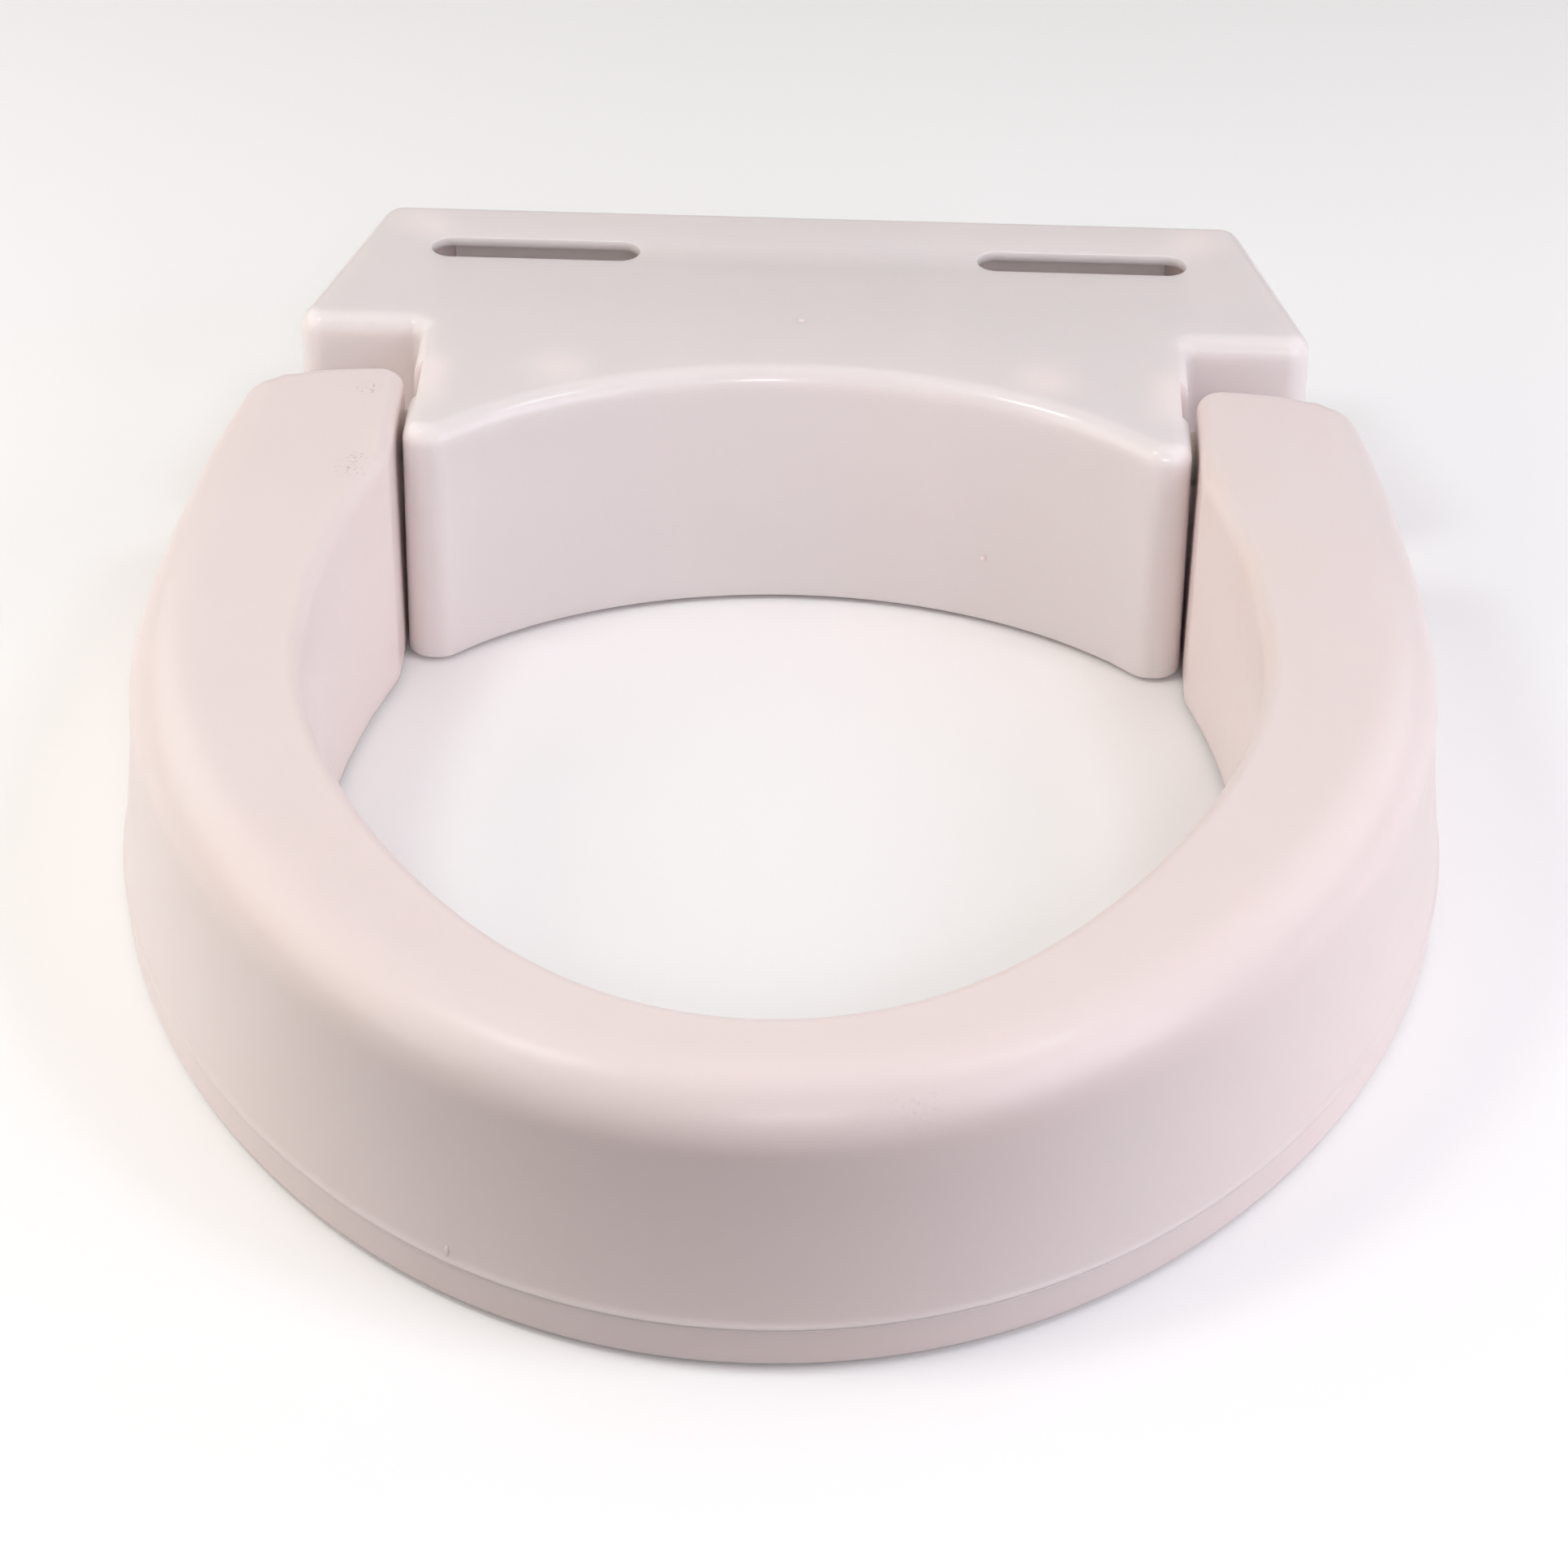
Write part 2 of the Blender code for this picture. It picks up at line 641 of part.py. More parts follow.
def build():
    """Makes every piece, gives it its material and hangs the moving ones on the hinge axis."""
    for obj in list(bpy.data.objects):
        bpy.data.objects.remove(obj)
    ring_white = material("ring_plastic", *RING_WHITE)
    base_white = material("base_plastic", *BASE_WHITE)
    nylon = material("nylon", *NYLON)
    steel = material("steel", *STEEL)
    rubber = material("rubber", *RUBBER)

    axis = bpy.data.objects.new("hinge_axis", None)
    axis.location = (0, AXIS_Y * MM, AXIS_Z * MM)
    bpy.context.scene.collection.objects.link(axis)
    bpy.context.view_layer.update()

    finish(base_shell(), base_white)
    finish(ring_shell(), ring_white, axis)
    finish(ring_tray(), ring_white, axis)
    for side, name in SIDES:
        finish(hinge_bush(side, name), nylon)
        finish(hinge_spacer(side, name), nylon)
        finish(hinge_pin(side, name), steel, axis)
        finish(pin_clip(side, name), steel, axis)
    for number, (x, y) in enumerate(both_sides(BASE_FEET), 1):
        finish(foot(f"base_foot_{number}", x, y), rubber)
    for number, (x, y) in enumerate(both_sides(RING_FEET), 1):
        finish(foot(f"ring_foot_{number}", x, y), rubber, axis)
    for number, (x, y) in enumerate(screw_places(), 1):
        finish(tray_screw(number, x, y), steel, axis)


build()
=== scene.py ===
import json
import math

import bmesh
import bpy
from mathutils import Euler, Matrix, Vector


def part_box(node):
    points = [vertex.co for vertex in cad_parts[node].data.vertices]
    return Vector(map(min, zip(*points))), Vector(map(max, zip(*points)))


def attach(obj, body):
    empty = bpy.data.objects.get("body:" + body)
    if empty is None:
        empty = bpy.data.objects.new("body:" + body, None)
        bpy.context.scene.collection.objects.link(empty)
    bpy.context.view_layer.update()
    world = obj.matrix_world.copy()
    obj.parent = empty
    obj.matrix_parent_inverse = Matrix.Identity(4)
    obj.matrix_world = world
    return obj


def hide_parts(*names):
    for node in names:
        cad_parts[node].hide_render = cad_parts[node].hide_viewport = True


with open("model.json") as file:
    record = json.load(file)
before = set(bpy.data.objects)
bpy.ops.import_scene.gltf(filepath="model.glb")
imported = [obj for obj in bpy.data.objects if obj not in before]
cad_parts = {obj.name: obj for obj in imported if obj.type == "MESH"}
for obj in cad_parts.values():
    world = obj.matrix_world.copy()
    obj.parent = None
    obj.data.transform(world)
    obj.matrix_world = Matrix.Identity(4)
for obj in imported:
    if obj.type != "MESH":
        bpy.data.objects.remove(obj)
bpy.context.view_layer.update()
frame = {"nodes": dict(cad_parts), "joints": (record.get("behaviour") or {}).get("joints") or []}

# Lengths are in millimetres and are turned into metres when a mesh is made.
MM = 0.001
GAP = 0.3


def edges(node):
    """Lowest and highest corner of a CAD node, in millimetres."""
    low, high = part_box(node)
    return low / MM, high / MM


RING_LOW, RING_HIGH = edges("seat_ring_shell")
BASE_LOW, BASE_HIGH = edges("base_shell")

BOTTOM = BASE_LOW.z
TOP = BASE_HIGH.z
WALL = 3.0
PLATE = 3.2

# Seat ring outlines: half width, y of the widest place, reach forward, two numbers that slim the
# flanks between the widest place and the round nose, and reach back
OUTER_MIDDLE_Y = -3.1
RING_OUTER = (RING_HIGH.x, OUTER_MIDDLE_Y, OUTER_MIDDLE_Y - RING_LOW.y, 0.109, 0.076, 291.0)
RING_INNER = (125.8, -15.9, 162.5, 0.244, 0.157, 190.0)
ARM_REAR_Y = RING_HIGH.y
ARM_FACE_REAR_X = 113.2
ARM_FACE_FRONT_X = 113.0
ARM_OUTER_CORNER = 18.0
ARM_REAR_CORNER = 9.0
ARM_FRONT_CORNER = 12.0
CORNER_RUN = 1.5
FLANK_START_Y = 70.0
ROUND = {"outer": 17.0, "flank": 14.0, "corner": 9.5, "rear": 8.0, "face": 4.5, "inner": 5.0}
ROUND_BLEND = 12.0
DRAFT_BLEND = 7.0
DRAFT_OUTER = 5.0
DRAFT_INNER = 0.6
ROUND_STEPS = 18
HOLLOW_STEPS = 4
HOLLOW_ROUND_MIN = 0.8
SEAM_Z = edges("seat_ring_tray")[1].z
RIM_Z = RING_LOW.z
TOP_MARGIN = 1.2

# The lip of the ring shell just above the seam, and the band of the tray below it
LIP_HEIGHT = 1.9
LIP_DEPTH = 0.75
LIP_ROUND = 0.3
# Rows of the flank: share of the way down from the rounding to the lip, share of the lip's depth
FLANK_ROWS = ((0.25, 1.0), (0.5, 1.0), (0.75, 1.0), (0.96, 1.0), (0.98, 1.0), (1.0, 0.9))
# Rows of the lip itself: height in units of its rounding, share of its depth
LIP_ROWS = ((4.3, 0.4), (3.2, 0.1))
LIP_SQUEEZE = 2.2
SEAM_GAP = 0.1
BAND_INSET = 0.4
BAND_TAPER = 0.3
BAND_ROUND = 1.0
BAND_STEPS = 4
TRAY_FLOOR = 4.0
TRAY_TAPER = 1.0
HEAD_POCKET = 2.4
SHANK_START = 1.0
SHANK_GAP = 0.5

# Rear base
BACK_Y = BASE_HIGH.y
BACK_HALF = 130.2
EAR_HALF = 151.3
EAR_FRONT_Y = 142.7
NECK_HALF_REAR = 112.8
NECK_HALF_FRONT = 112.2
LUG_FRONT_Y = BASE_LOW.y
ARC_HALF = 130.0
ARC_DEPTH = 107.0
ARC_MIDDLE_Y = 11.5
ARC_STRAIGHT = 10.0
ARC_STOP = 8.0
BASE_ROUND = 6.0
BASE_CORNER = 7.5
BACK_CORNER = 8.0
NECK_CORNER = 3.0
BASE_DRAFT = 0.6
BASE_CHAMFER = 0.4
BASE_STEPS = 12
CAVITY_STEPS = 3
RIB = 2.5
RIB_X = 38.0
RIB_Y = 172.6
RIB_CLEARANCE = 3.0
SLOT_CENTRE_X = 82.1
SLOT_Y = 189.5
SLOT_LENGTH = 62.8
SLOT_HALF = 6.05
SLOT_LIP = 0.3
LIP_STEPS = 4
SLOT_END_STEPS = 24
EASE = 0.45
EASE_ANGLE = 50
SHARP_ANGLE = 32

# Hinges
AXIS = Vector(next(j for j in frame["joints"] if j["name"] == "ring_lift")["pos_m"]) / MM
NOTCH_Y = 111.8
NOTCH_FLOOR_X = 109.2
NOTCH_HALF = 10.25
NOTCH_BELOW = 10.5
BLOCK_INNER_X = 100.0
BLOCK_HALF = 14.3
BUSH_HOLE_R = 6.3
PIN_HOLE_R = 4.3
BOSS_R = 6.4
BOSS_START_X = 115.5
BOSS_END_X = 132.5
BORE_PAST = 1.0

# Feet, pillars, screws and their posts
PILLAR_R = 9.5
FOOT_EDGE = 0.9
FOOT_DISH = 0.35
DISH_MIDDLE_R = 0.2
DISH_FLAT = 0.55
DISH_RIM = 0.68
SCREW_R = 1.7
HEAD_HEIGHT = 1.9
HEAD_EDGE = 0.9
THREAD_PITCH = 1.2
THREAD_DEPTH = 0.35
THREAD_END = 1.5
POST_R = 4.5
PILOT_SPARE = 2.0
DRIVE_HALF = 0.45
DRIVE_REACH = 2.2
DRIVE_DEPTH = 1.1
DRIVE_PAST = 1.0

# How far a cutter runs past what it cuts, and the sharpest mitre of a moved outline
PAST = 4.0
MITRE = 0.5

SIDES = (1, -1)
TURN_STEPS = 48
POST_STEPS = 24
BORE_STEPS = 32

LENS = 102.69
CAMERA_PLACE = (0.02911, -1.00215, 0.71982)
CAMERA_HEADING = 1.65
CAMERA_DOWN = 35.08
CAMERA_ROLL = 0.773

# Lamps: name, place, size, power and colour, all aimed at LAMP_AIM
LAMP_AIM = (0, 0, 0.04)
SPOT = (0.2, 0.2)
SOFTBOX = (0.8, 0.7)
LAMPS = (
    ("top_softbox", (0, 0.4, 3.0), (2.0, 2.0), 4.1, (1.0, 1.0, 1.0)),
    ("front_softbox", (0.15, -1.45, 1.0), SPOT, 3.4, (1.0, 1.0, 1.0)),
    ("over_left", (-0.5, -0.15, 1.0), SPOT, 1.9, (0.92, 1.0, 0.96)),
    ("over_right", (0.5, -0.15, 1.0), SPOT, 1.3, (0.82, 0.94, 1.0)),
    ("left_softbox", (-0.85, -0.20, 0.5), SOFTBOX, 3.4, (1.0, 0.91, 0.83)),
    ("right_softbox", (0.85, -0.05, 0.55), SOFTBOX, 0.9, (0.80, 0.87, 1.0)),
    ("left_rear_fill", (-0.85, 0.55, 0.6), SOFTBOX, 2.3, (0.98, 0.99, 1.0)),
    ("right_rear_fill", (0.85, 0.55, 0.6), SOFTBOX, 1.7, (1.0, 0.99, 0.95)),
    ("right_front_fill", (0.8, -0.55, 0.5), SOFTBOX, 4.5, (0.92, 0.88, 1.0)),
)
WORLD_COLOUR = (1.0, 0.92, 0.90, 1.0)
WORLD_STRENGTH = 0.32

# Floor: its size and depth below the feet, and the y between which it starts to throw light back; in
# front of that the floor is painted near-black for bounced light only, a painted shade on the ring's
# front wall
FLOOR_SIZE = 30.0
FLOOR_Z = -0.0005
BOUNCE_FROM_Y = -0.30
BOUNCE_TO_Y = -0.12

# Scuffs: place, radius and strength. Tints: place, radius and colour
RING_SCUFFS = (
    ((-122.8, 103.4, TOP), 5.0, 0.55),
    ((-121.9, 65.6, TOP), 3.5, 0.8),
    ((-123.5, 59.8, TOP), 7.0, 0.45),
    ((37.7, -204.3, 69.6), 9.0, 0.12),
)
RING_TINTS = (
    ((115.4, 65.4, TOP), 22.0, (0.84, 0.66, 0.56)),
    ((125.0, 25.0, TOP), 26.0, (0.83, 0.67, 0.58)),
    ((127.4, -15.7, TOP), 24.0, (0.83, 0.68, 0.60)),
)
SCUFF_COLOUR = (0.16, 0.11, 0.09, 1.0)
TINT_SHARE = 0.35


def camera():
    """A long-lens camera in front of the ring, looking down on it."""
    data = bpy.data.cameras.new("camera")
    data.lens = LENS
    data.sensor_width = 36.0
    data.clip_start = 0.05
    data.clip_end = 50.0
    obj = bpy.data.objects.new("camera", data)
    bpy.context.scene.collection.objects.link(obj)
    turn = Euler((0, 0, math.radians(CAMERA_HEADING))).to_matrix()
    tilt = Euler((math.radians(90 - CAMERA_DOWN), 0, 0)).to_matrix()
    roll = Euler((0, 0, math.radians(CAMERA_ROLL))).to_matrix()
    obj.matrix_world = Matrix.Translation(CAMERA_PLACE) @ (turn @ tilt @ roll).to_4x4()
    bpy.context.scene.camera = obj


# Outlines

def fillet(before, corner, after, radius, steps):
    """Points of the arc that rounds one corner, tangent to the lines on both sides of it."""
    c = Vector(corner)
    a = (Vector(before) - c).normalized()
    b = (Vector(after) - c).normalized()
    half = a.angle(b) / 2
    middle = c + (a + b).normalized() * (radius / math.sin(half))
    start = c + a * (radius / math.tan(half)) - middle
    end = c + b * (radius / math.tan(half)) - middle
    turn = start.angle(end)
    points = []
    for i in range(steps + 1):
        t = i / steps
        p = (start * math.sin((1 - t) * turn) + end * math.sin(t * turn)) / math.sin(turn)
        points.append(tuple(middle + p))
    return points


def half_width(curve, y):
    """Half width of a ring outline behind its widest place."""
    half, middle, _, _, _, back = curve
    return half * math.sqrt(1 - ((y - middle) / back) ** 2)


def widest_to_y(curve, half_wanted):
    """The y behind the widest place where a ring outline has the wanted half width."""
    half, middle, _, _, _, back = curve
    return middle + back * math.sqrt(1 - (half_wanted / half) ** 2)


def front_curve(curve, steps):
    """Right-hand points of a ring outline from the middle of its front to its widest place."""
    half, middle, reach, slim, nose, _ = curve
    points = []
    for i in range(steps + 1):
        t = math.pi / 2 * i / steps
        forward = math.cos(t)
        across = half * math.sin(t) * (1 - slim * forward ** 2 + nose * forward ** 4)
        points.append((across, middle - reach * forward))
    return points


def back_curve(curve, end_y, steps):
    """Right-hand points of a ring outline behind its widest place."""
    middle = curve[1]
    rows = [middle + (end_y - middle) * i / steps for i in range(1, steps + 1)]
    return [(half_width(curve, y), y) for y in rows]


def between(start, end, count):
    """Points evenly spaced inside a straight line, without its ends."""
    a, b = Vector(start), Vector(end)
    return [tuple(a.lerp(b, i / (count + 1))) for i in range(1, count + 1)]


def mirrored(half_path):
    """Closes a right-hand path that starts and ends on the middle line with its mirror image."""
    return half_path + [(-x, y) for x, y in reversed(half_path[1:-1])]


def ring_outline():
    """The ring's closed outline and the zone of each of its points."""
    corner = (half_width(RING_OUTER, ARM_REAR_Y), ARM_REAR_Y)
    start_y = ARM_REAR_Y - CORNER_RUN * ARM_OUTER_CORNER
    start = (half_width(RING_OUTER, start_y), start_y)
    face_rear = (ARM_FACE_REAR_X, ARM_REAR_Y)
    face_front = (ARM_FACE_FRONT_X, widest_to_y(RING_INNER, ARM_FACE_FRONT_X))
    end_y = face_front[1] - CORNER_RUN * ARM_FRONT_CORNER
    end = (half_width(RING_INNER, end_y), end_y)
    outer_corner = fillet(start, corner, (0, ARM_REAR_Y), ARM_OUTER_CORNER, steps=16)
    rear_corner = fillet(corner, face_rear, face_front, ARM_REAR_CORNER, steps=12)
    front_corner = fillet(face_rear, face_front, end, ARM_FRONT_CORNER, steps=10)
    path = [(p, "outer") for p in front_curve(RING_OUTER, steps=90)]
    for p in back_curve(RING_OUTER, start_y, steps=30):
        path.append((p, "flank" if p[1] > FLANK_START_Y else "outer"))
    path += [(p, "corner") for p in outer_corner]
    path += [(p, "rear") for p in between(outer_corner[-1], rear_corner[0], count=6)]
    path += [(p, "face") for p in rear_corner]
    path += [(p, "face") for p in between(rear_corner[-1], front_corner[0], count=10)]
    path += [(p, "inner") for p in front_corner]
    path += [(p, "inner") for p in reversed(back_curve(RING_INNER, end_y, steps=16))]
    path += [(p, "inner") for p in reversed(front_curve(RING_INNER, steps=80))]
    points = mirrored([p for p, _ in path])
    zones = [zone for _, zone in path]
    return points, zones + zones[-2:0:-1]


def arc_y(x):
    """The y of the base's hollow front wall at a distance x from the middle."""
    return ARC_MIDDLE_Y + ARC_DEPTH * math.sqrt(1 - (x / ARC_HALF) ** 2)


def base_outline(detail):
    """The rear base's closed outline; detail multiplies the number of points on its curves."""
    drop = (LUG_FRONT_Y - ARC_MIDDLE_Y) / ARC_DEPTH
    arc_end = (ARC_HALF * math.sqrt(1 - drop ** 2), LUG_FRONT_Y)
    before = (arc_end[0] - ARC_STRAIGHT, arc_y(arc_end[0] - ARC_STRAIGHT))
    lug = (NECK_HALF_FRONT, LUG_FRONT_Y)
    neck = (NECK_HALF_REAR, EAR_FRONT_Y)
    ear = (EAR_HALF, EAR_FRONT_Y)
    back = (BACK_HALF, BACK_Y)
    count = 10 * detail
    across = [(arc_end[0] - ARC_STOP) * i / count for i in range(count + 1)]
    path = [(x, arc_y(x)) for x in across]
    path += fillet(before, arc_end, lug, BASE_CORNER, 3 * detail)
    path += fillet(arc_end, lug, neck, BASE_CORNER, 4 * detail)
    path += fillet(lug, neck, ear, NECK_CORNER, 3 * detail)
    path += fillet(neck, ear, back, BASE_CORNER, 4 * detail)
    path += fillet(ear, back, (0, BACK_Y), BACK_CORNER, 4 * detail)
    path += [(0, BACK_Y)]
    return mirrored(path)


def inward(points, distances):
    """The outline with each point moved into the material by its own distance."""
    count = len(points)
    area = sum(a[0] * b[1] - b[0] * a[1] for a, b in zip(points, points[1:] + points[:1]))
    side = 1 if area > 0 else -1
    moved = []
    for i, (x, y) in enumerate(points):
        a = (Vector((x, y)) - Vector(points[i - 1])).normalized()
        b = (Vector(points[(i + 1) % count]) - Vector((x, y))).normalized()
        tangent = (a + b).normalized()
        reach = distances[i] / max(MITRE, tangent.dot(a))
        moved.append((x - side * tangent.y * reach, y + side * tangent.x * reach))
    return moved


def eased(points, values, width):
    """Values along the closed outline, smoothed over a distance."""
    count = len(points)
    steps = [(Vector(points[(i + 1) % count]) - Vector(points[i])).length for i in range(count)]
    result = []
    for i in range(count):
        total = values[i]
        weight = 1.0
        for direction in (1, -1):
            apart = 0.0
            j = i
            while apart < 2.5 * width:
                step = steps[j] if direction == 1 else steps[j - 1]
                apart += step
                j = (j + direction) % count
                w = step * math.exp(-((apart / width) ** 2))
                total += w * values[j]
                weight += w
        result.append(total / weight)
    return result


# Meshes

def to_object(bm, name):
    """Makes an object of a bmesh in millimetres."""
    bmesh.ops.scale(bm, vec=(MM, MM, MM), verts=bm.verts)
    bmesh.ops.recalc_face_normals(bm, faces=bm.faces)
    mesh = bpy.data.meshes.new(name)
    bm.to_mesh(mesh)
    bm.free()
    obj = bpy.data.objects.new(name, mesh)
    bpy.context.scene.collection.objects.link(obj)
    return obj


def add_loft(bm, rings):
    """Adds a solid whose skin runs through rings of points."""
    rows = [[bm.verts.new(p) for p in ring] for ring in rings]
    count = len(rows[0])
    for row, upper in zip(rows, rows[1:]):
        for j in range(count):
            k = (j + 1) % count
            bm.faces.new((row[j], row[k], upper[k], upper[j]))
    bm.faces.new(rows[0])
    bm.faces.new(rows[-1])


def lofted(name, solids):
    """One object that holds one or more lofted solids."""
    bm = bmesh.new()
    for rings in solids:
        add_loft(bm, rings)
    return to_object(bm, name)


def level(points, heights):
    """An outline lifted to a height, or to one height for each point."""
    if not isinstance(heights, list):
        heights = [heights] * len(points)
    return [(x, y, z) for (x, y), z in zip(points, heights)]


def turned(profile, centre, direction="z", steps=TURN_STEPS):
    """Rings of a round solid from (place along the axis, radius) pairs."""
    rings = []
    for place, radius in profile:
        ring = []
        for i in range(steps):
            a = 2 * math.pi * i / steps
            u = radius * math.cos(a)
            v = radius * math.sin(a)
            if direction == "z":
                ring.append((centre[0] + u, centre[1] + v, place))
            else:
                ring.append((place, centre[0] + u, centre[1] + v))
        rings.append(ring)
    return rings


def hinge_turned(side, start_x, end_x, radius, steps=BORE_STEPS):
    """Rings of a round bar on the hinge axis, on one side, between two distances from the middle."""
    profile = [(side * start_x, radius), (side * end_x, radius)]
    return turned(profile, (AXIS.y, AXIS.z), "x", steps)


def box(low, high):
    """Rings of a box between two corners."""
    corners = [(low[0], low[1]), (high[0], low[1]), (high[0], high[1]), (low[0], high[1])]
    return [level(corners, low[2]), level(corners, high[2])]


def side_box(side, xs, ys, zs):
    """Rings of a box on one side, with its x range given as distances from the middle."""
    xs = sorted(side * x for x in xs)
    return box((xs[0], ys[0], zs[0]), (xs[1], ys[1], zs[1]))


def apply_modifiers(obj):
    """Replaces an object's mesh with what its modifiers make of it."""
    bpy.context.view_layer.update()
    result = obj.evaluated_get(bpy.context.evaluated_depsgraph_get())
    mesh = bpy.data.meshes.new_from_object(result)
    obj.modifiers.clear()
    obj.data = mesh


def boolean(target, tool, operation, tool_overlaps):
    """Cuts a tool object from the target or joins it on, and removes the tool."""
    modifier = target.modifiers.new("boolean", "BOOLEAN")
    modifier.operation = operation
    modifier.solver = "EXACT"
    modifier.use_self = tool_overlaps
    modifier.object = tool
    apply_modifiers(target)
    bpy.data.objects.remove(tool)


def combine(target, solids, operation):
    """Cuts solids from an object or joins them on, all in one Boolean."""
    boolean(target, lofted("tool", solids), operation, True)


def ease_edges(obj):
    """Rounds the sharp edges of a moulding slightly, so that they catch the light."""
    modifier = obj.modifiers.new("ease", "BEVEL")
    modifier.width = EASE * MM
    modifier.segments = 2
    modifier.limit_method = "ANGLE"
    modifier.angle_limit = math.radians(EASE_ANGLE)
    apply_modifiers(obj)


def placed(obj, body, slot, made, *nodes):
    """Gives a piece its material and body, and hides the CAD nodes it stands for."""
    obj.data.materials.clear()
    obj.data.materials.append(made)
    obj.data.shade_smooth()
    obj.data.set_sharp_from_angle(angle=math.radians(SHARP_ANGLE))
    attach(obj, body)
    if nodes:
        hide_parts(*nodes)


def centre_of(node):
    """Middle of a CAD node seen from above, in millimetres."""
    low, high = edges(node)
    return ((low.x + high.x) / 2, (low.y + high.y) / 2)


def radius_of(node):
    """Radius of a CAD node that is round seen from above, in millimetres."""
    low, high = edges(node)
    return (high.x - low.x) / 2


def named(start):
    """The CAD nodes whose name starts with a word, in order."""
    return sorted(n for n in frame["nodes"] if n.startswith(start))


# Seat ring

OUTSIDE = ("outer", "flank", "corner")


def ring_skin(points, radii, draft, seamed, rim):
    """Rings of the ring shell's outer skin, from the top down over the lip to the rim."""
    lip = eased(points, [LIP_DEPTH if s else 0.0 for s in seamed], GAP)
    shift = [d + r + TOP_MARGIN for d, r in zip(draft, radii)]
    rings = [level(inward(points, shift), TOP)]
    for i in range(ROUND_STEPS + 1):
        a = math.pi / 2 * (1 - i / ROUND_STEPS)
        shift = [d + r * (1 - math.cos(a)) for d, r in zip(draft, radii)]
        rings.append(level(inward(points, shift), [TOP - r * (1 - math.sin(a)) for r in radii]))
    low = [z + LIP_HEIGHT if s else z for z, s in zip(rim, seamed)]
    for share, depth in FLANK_ROWS:
        heights = [(TOP - r) + (z - (TOP - r)) * share for r, z in zip(radii, low)]
        shift = [d * (1 - share) + depth * k for d, k in zip(draft, lip)]
        rings.append(level(inward(points, shift), heights))
    for rise, depth in LIP_ROWS:
        heights = [z + (rise if s else rise / LIP_SQUEEZE) * LIP_ROUND for z, s in zip(rim, seamed)]
        rings.append(level(inward(points, [depth * k for k in lip]), heights))
    heights = [z + (2 * LIP_ROUND if s else LIP_ROUND) for z, s in zip(rim, seamed)]
    rings.append(level(points, heights))
    rings.append(level(inward(points, [LIP_ROUND] * len(points)), rim))
    return rings


def ring_hollow(points, radii, draft, rim):
    """Rings of the ring shell's inner skin, from the top down to the rim."""
    rings = []
    hollow = [max(HOLLOW_ROUND_MIN, r - WALL) for r in radii]
    for i in range(HOLLOW_STEPS + 1):
        a = math.pi / 2 * (1 - i / HOLLOW_STEPS)
        shift = [d + WALL + h * (1 - math.cos(a)) for d, h in zip(draft, hollow)]
        heights = [TOP - PLATE - h * (1 - math.sin(a)) for h in hollow]
        rings.append(level(inward(points, shift), heights))
    rings.append(level(inward(points, [WALL] * len(points)), rim))
    return rings


def ring_shell():
    """Upper shell of the ring: rounded skin, lip above the seam, hollow inside, open below."""
    points, zones = ring_outline()
    radii = eased(points, [ROUND[zone] for zone in zones], ROUND_BLEND)
    slanted = [DRAFT_OUTER if zone in OUTSIDE else DRAFT_INNER for zone in zones]
    draft = eased(points, slanted, DRAFT_BLEND)
    seamed = [zone in OUTSIDE + ("rear",) for zone in zones]
    rim = [SEAM_Z + SEAM_GAP if s else RIM_Z for s in seamed]
    skin = ring_skin(points, radii, draft, seamed, rim)
    hollow = ring_hollow(points, radii, draft, rim)
    shell = lofted("ring_upper_shell", [skin + hollow[::-1]])
    screws = [centre_of(n) for n in named("tray_screw")]
    foot = BOTTOM + TRAY_FLOOR + GAP
    added = [hinge_turned(side, BOSS_START_X, BOSS_END_X, BOSS_R) for side in SIDES]
    post = [(foot, POST_R), (TOP - PLATE / 2, POST_R)]
    added += [turned(post, c, steps=POST_STEPS) for c in screws]
    combine(shell, added, "UNION")
    spacer_low, spacer_high = edges("hinge_spacer_right")
    seat_r = (spacer_high.y - spacer_low.y) / 2 + GAP
    seat_x = spacer_high.x + GAP
    start = ARM_FACE_FRONT_X - PAST
    cuts = [hinge_turned(side, start, BOSS_END_X + PAST, PIN_HOLE_R) for side in SIDES]
    cuts += [hinge_turned(side, start, seat_x, seat_r, TURN_STEPS) for side in SIDES]
    screw_top = edges("tray_screw_1")[1].z + PILOT_SPARE
    pilot = [(foot - PAST, SCREW_R + GAP), (screw_top, SCREW_R + GAP)]
    cuts += [turned(pilot, c, steps=POST_STEPS) for c in screws]
    combine(shell, cuts, "DIFFERENCE")
    return shell


